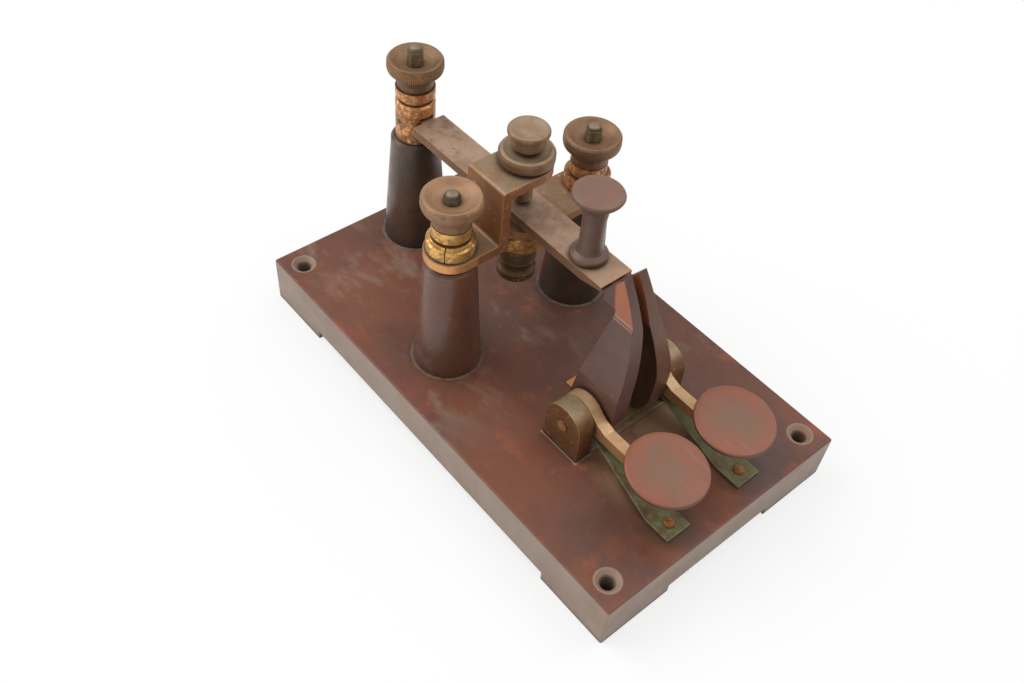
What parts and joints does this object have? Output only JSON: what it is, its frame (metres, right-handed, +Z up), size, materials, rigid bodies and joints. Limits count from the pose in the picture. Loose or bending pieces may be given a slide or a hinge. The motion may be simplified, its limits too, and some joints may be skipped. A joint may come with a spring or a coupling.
{
  "type": "telegraph discharge key",
  "caption": "Table key for signal cables: a sprung brass lever between two contact screws, with two thumb triggers whose claws catch its end.",
  "frame": {"origin": "middle of the footprint at the underside of the four feet", "axes": "+X to the operator's right, +Y from the thumb discs to the lever's pivot, +Z up"},
  "size_m": [0.102, 0.178, 0.1003],
  "materials": {
    "base": "aged hard rubber, brown purple with paler stains",
    "rear_post": "black hard rubber",
    "left_post": "brown hard rubber",
    "right_post": "black hard rubber",
    "rear_base_nut": "dull steel with brown tarnish",
    "left_base_nut": "dull steel with brown tarnish",
    "right_base_nut": "dull steel with brown tarnish",
    "rear_bolt": "dull brown bronze patina",
    "rear_stud": "dull brown bronze patina",
    "left_stud": "dull brown bronze patina",
    "right_stud": "dull brown bronze patina",
    "rear_head": "coppery, lightly dented brass",
    "lever_pin": "dull steel with brown tarnish",
    "rear_ring": "dull brown bronze patina",
    "left_washer": "bare golden brass, handled",
    "left_collar": "bare golden brass, handled",
    "left_ring": "bare golden brass, handled",
    "right_collar": "dull brown bronze patina",
    "right_ring": "dull brown bronze patina",
    "rear_terminal_nut": "dull brown bronze patina",
    "left_terminal_nut": "dull brown bronze patina",
    "right_terminal_nut": "dull brown bronze patina",
    "upper_bracket": "bare golden brass, handled",
    "lower_bracket": "dull brown bronze patina",
    "upper_contact_screw": "dull brown bronze patina",
    "upper_contact_tip": "pale contact metal",
    "upper_lock_nut": "dull brown bronze patina",
    "lower_contact_screw": "dull brown bronze patina",
    "lower_contact_tip": "pale contact metal",
    "lower_lock_nut": "dull brown bronze patina",
    "lever": "dull brown bronze patina",
    "lever_contact": "pale contact metal",
    "lever_spring": "dull steel with brown tarnish",
    "lever_spring_rivet": "dull brown bronze patina",
    "knob": "reddish brown hard rubber, polished by hands",
    "knob_screw": "dull steel with brown tarnish",
    "trigger_frame": "brass with green verdigris",
    "frame_screw_rear": "bare golden brass, handled",
    "frame_screw_left": "dull steel with brown tarnish",
    "frame_screw_right": "dull steel with brown tarnish",
    "pivot_rod": "dull steel with brown tarnish",
    "left_arm": "bare golden brass, handled",
    "right_arm": "bare golden brass, handled",
    "left_hub": "dull brown bronze patina",
    "right_hub": "dull brown bronze patina",
    "left_claw": "dark brown purple hard rubber",
    "right_claw": "dark brown purple hard rubber",
    "left_claw_screw": "dull steel with brown tarnish",
    "right_claw_screw": "dull steel with brown tarnish",
    "left_disc": "reddish brown hard rubber, satin",
    "right_disc": "reddish brown hard rubber, satin",
    "left_disc_screw": "dull brown bronze patina",
    "right_disc_screw": "dull brown bronze patina",
    "left_spring": "brass with green verdigris",
    "right_spring": "brass with green verdigris",
    "left_spring_screw": "brass with green verdigris",
    "right_spring_screw": "brass with green verdigris"
  },
  "bodies": {
    "stand": {"base": "base", "rear_post": "rear_post", "left_post": "left_post", "right_post": "right_post", "rear_base_nut": "rear_base_nut", "left_base_nut": "left_base_nut", "right_base_nut": "right_base_nut", "rear_bolt": "rear_bolt", "rear_stud": "rear_stud", "left_stud": "left_stud", "right_stud": "right_stud", "rear_head": "rear_head", "lever_pin": "lever_pin", "rear_ring": "rear_ring", "left_washer": "left_washer", "left_collar": "left_collar", "left_ring": "left_ring", "right_collar": "right_collar", "right_ring": "right_ring", "upper_bracket": "upper_bracket", "lower_bracket": "lower_bracket", "trigger_frame": "trigger_frame", "frame_screw_rear": "frame_screw_rear", "frame_screw_left": "frame_screw_left", "frame_screw_right": "frame_screw_right", "pivot_rod": "pivot_rod", "left_spring": "left_spring", "right_spring": "right_spring", "left_spring_screw": "left_spring_screw", "right_spring_screw": "right_spring_screw"},
    "lever": {"lever": "lever", "lever_contact": "lever_contact", "lever_spring": "lever_spring", "lever_spring_rivet": "lever_spring_rivet", "knob": "knob", "knob_screw": "knob_screw"},
    "left_trigger": {"left_arm": "left_arm", "left_hub": "left_hub", "left_claw": "left_claw", "left_claw_screw": "left_claw_screw", "left_disc": "left_disc", "left_disc_screw": "left_disc_screw"},
    "right_trigger": {"right_arm": "right_arm", "right_hub": "right_hub", "right_claw": "right_claw", "right_claw_screw": "right_claw_screw", "right_disc": "right_disc", "right_disc_screw": "right_disc_screw"},
    "rear_nut": {"rear_terminal_nut": "rear_terminal_nut"},
    "left_nut": {"left_terminal_nut": "left_terminal_nut"},
    "right_nut": {"right_terminal_nut": "right_terminal_nut"},
    "upper_screw": {"upper_contact_screw": "upper_contact_screw", "upper_contact_tip": "upper_contact_tip"},
    "upper_lock": {"upper_lock_nut": "upper_lock_nut"},
    "lower_screw": {"lower_contact_screw": "lower_contact_screw", "lower_contact_tip": "lower_contact_tip"},
    "lower_lock": {"lower_lock_nut": "lower_lock_nut"}
  },
  "joints": [
    {"name": "lever_hinge", "type": "hinge", "parent": "stand", "child": "lever", "pos_m": [0.0007, 0.0729, 0.07065], "axis": [1, 0, 0], "range_deg": [0, 2.43], "stiffness_Nm_per_rad": 0.4, "springref_deg": -9.17},
    {"name": "left_trigger_hinge", "type": "hinge", "parent": "stand", "child": "left_trigger", "pos_m": [-0.0148, -0.0365, 0.0298], "axis": [1, 0, 0], "range_deg": [0, 6], "stiffness_Nm_per_rad": 0.1, "springref_deg": -14.32},
    {"name": "right_trigger_hinge", "type": "hinge", "parent": "stand", "child": "right_trigger", "pos_m": [0.0148, -0.0365, 0.0298], "axis": [1, 0, 0], "range_deg": [0, 6], "stiffness_Nm_per_rad": 0.1, "springref_deg": -14.32},
    {"name": "rear_nut_turn", "type": "hinge", "parent": "stand", "child": "rear_nut", "pos_m": [0.0007, 0.0729, 0.088], "axis": [0, 0, 1], "continuous": true},
    {"name": "left_nut_turn", "type": "hinge", "parent": "stand", "child": "left_nut", "pos_m": [-0.0277, 0.0164, 0.084], "axis": [0, 0, 1], "continuous": true},
    {"name": "right_nut_turn", "type": "hinge", "parent": "stand", "child": "right_nut", "pos_m": [0.0291, 0.0164, 0.08], "axis": [0, 0, 1], "continuous": true},
    {"name": "upper_screw_turn", "type": "hinge", "parent": "stand", "child": "upper_screw", "pos_m": [0.0007, 0.0164, 0.086], "axis": [0, 0, 1], "continuous": true},
    {"name": "upper_lock_turn", "type": "hinge", "parent": "stand", "child": "upper_lock", "pos_m": [0.0007, 0.0164, 0.09], "axis": [0, 0, 1], "continuous": true},
    {"name": "lower_screw_turn", "type": "hinge", "parent": "stand", "child": "lower_screw", "pos_m": [0.0007, 0.0164, 0.06], "axis": [0, 0, 1], "continuous": true},
    {"name": "lower_lock_turn", "type": "hinge", "parent": "stand", "child": "lower_lock", "pos_m": [0.0007, 0.0164, 0.06], "axis": [0, 0, 1], "continuous": true}
  ]
}
